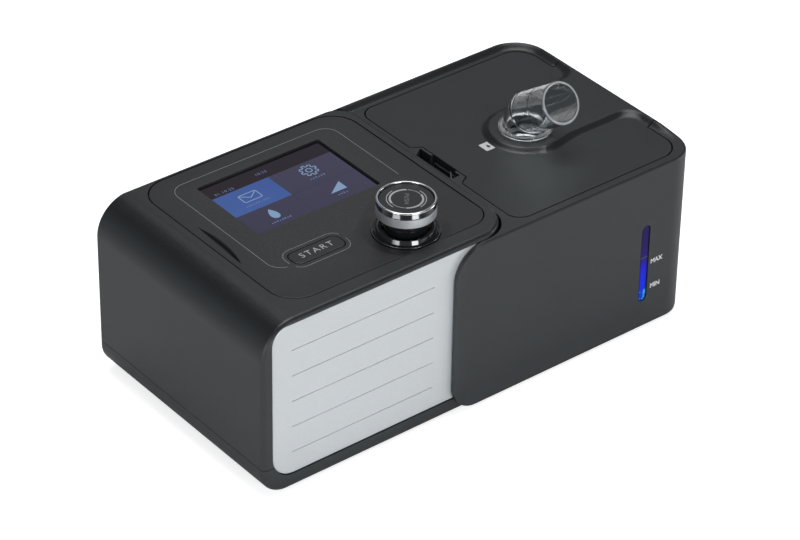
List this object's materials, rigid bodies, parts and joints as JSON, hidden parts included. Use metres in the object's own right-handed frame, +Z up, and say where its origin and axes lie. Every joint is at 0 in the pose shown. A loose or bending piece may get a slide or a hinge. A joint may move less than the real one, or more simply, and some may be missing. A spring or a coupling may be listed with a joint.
{
  "type": "cpap machine",
  "caption": "bench-top breathing-therapy blower with a docked heated humidifier, screen, press-and-turn knob, hinged lid and clear swivel outlet elbow",
  "frame": {"origin": "middle of the footprint on the table, between the two outer sides and between front and back", "axes": "+X along the length towards the humidifier, +Y to the back, +Z up; the front faces -Y"},
  "size_m": [0.27, 0.1384, 0.1359],
  "materials": {
    "charcoal_shell": "fine satin texture",
    "black_fascia": "satin black",
    "gloss_black": "piano gloss",
    "silver_panel": "silver lacquer",
    "knob_chrome": "polished",
    "satin_metal": "satin turned",
    "dull_steel": "plain",
    "clear_plastic": "clear moulded plastic",
    "window_tint": "tinted window lit from behind",
    "circuit_board": "solder resist",
    "inner_plastic": "plain moulding",
    "soft_rubber": "matte",
    "filter_foam": "open foam"
  },
  "bodies": {
    "main_unit": {"base_pan": "charcoal_shell", "upper_housing": "charcoal_shell", "front_panel": "silver_panel", "control_fascia": "black_fascia", "display_lens": "window_tint", "lcd_module": "inner_plastic", "start_switch": "black_fascia", "knob_dish": "gloss_black", "encoder_body": "dull_steel", "control_board": "circuit_board", "main_board": "circuit_board", "blower_cushion": "soft_rubber", "blower_motor": "dull_steel", "blower_lower": "inner_plastic", "blower_upper": "inner_plastic", "outlet_duct": "inner_plastic", "outlet_seal": "soft_rubber", "air_filter": "filter_foam", "power_socket": "black_fascia", "dock_socket": "black_fascia", "main_foot_1": "soft_rubber", "main_foot_2": "soft_rubber", "main_foot_3": "soft_rubber", "main_foot_4": "soft_rubber"},
    "knob_plunger": {"encoder_plunger": "satin_metal"},
    "knob": {"encoder_shaft": "satin_metal", "knob_stem": "black_fascia", "knob_skirt": "satin_metal", "knob_ring": "knob_chrome", "knob_cap": "black_fascia"},
    "start_button": {"start_button": "black_fascia"},
    "impeller": {"impeller": "black_fascia", "motor_shaft": "dull_steel"},
    "filter_cover": {"filter_cover": "charcoal_shell"},
    "humidifier": {"humidifier_housing": "charcoal_shell", "humidifier_base": "charcoal_shell", "humidifier_foot_1": "soft_rubber", "humidifier_foot_2": "soft_rubber", "humidifier_foot_3": "soft_rubber", "humidifier_foot_4": "soft_rubber", "heater_tray": "inner_plastic", "heater_plate": "dull_steel", "water_chamber": "clear_plastic", "chamber_plate": "dull_steel", "inlet_duct": "inner_plastic", "dock_plug": "black_fascia", "level_window": "window_tint", "level_light": "circuit_board", "hinge_pin": "dull_steel"},
    "lid": {"humidifier_lid": "charcoal_shell", "chamber_cover": "clear_plastic", "lid_seal": "soft_rubber", "outlet_collar": "clear_plastic"},
    "lid_latch": {"lid_latch": "black_fascia"},
    "elbow": {"outlet_elbow": "clear_plastic", "elbow_seal": "soft_rubber"}
  },
  "joints": [
    {"name": "knob_press", "type": "slide", "parent": "main_unit", "child": "knob_plunger", "axis": [0, 0, -1], "range_m": [0, 0.0008], "stiffness_N_per_m": 900, "springref_m": -0.002},
    {"name": "knob_turn", "type": "hinge", "parent": "knob_plunger", "child": "knob", "pos_m": [-0.02905, -0.0395, 0.0988], "axis": [0, 0, 1], "continuous": true},
    {"name": "start_press", "type": "slide", "parent": "main_unit", "child": "start_button", "axis": [0, 0, -1], "range_m": [0, 0.0006], "stiffness_N_per_m": 700, "springref_m": -0.0015},
    {"name": "impeller_spin", "type": "hinge", "parent": "main_unit", "child": "impeller", "pos_m": [-0.048, 0.008, 0.035], "axis": [0, 0, 1], "continuous": true},
    {"name": "filter_cover_slide", "type": "slide", "parent": "main_unit", "child": "filter_cover", "axis": [0, 1, 0], "range_m": [0, 0.015]},
    {"name": "humidifier_undock", "type": "slide", "parent": "main_unit", "child": "humidifier", "axis": [1, 0, 0], "range_m": [0, 0.045]},
    {"name": "lid_open", "type": "hinge", "parent": "humidifier", "child": "lid", "pos_m": [0.1322, 0, 0.096], "axis": [0, 1, 0], "range_deg": [0, 95]},
    {"name": "latch_release", "type": "slide", "parent": "lid", "child": "lid_latch", "axis": [1, 0, 0], "range_m": [0, 0.0015], "stiffness_N_per_m": 600, "springref_m": -0.001},
    {"name": "elbow_swivel", "type": "hinge", "parent": "lid", "child": "elbow", "pos_m": [0.0763, -0.0037, 0.0988], "axis": [0, 0, 1], "continuous": true}
  ]
}
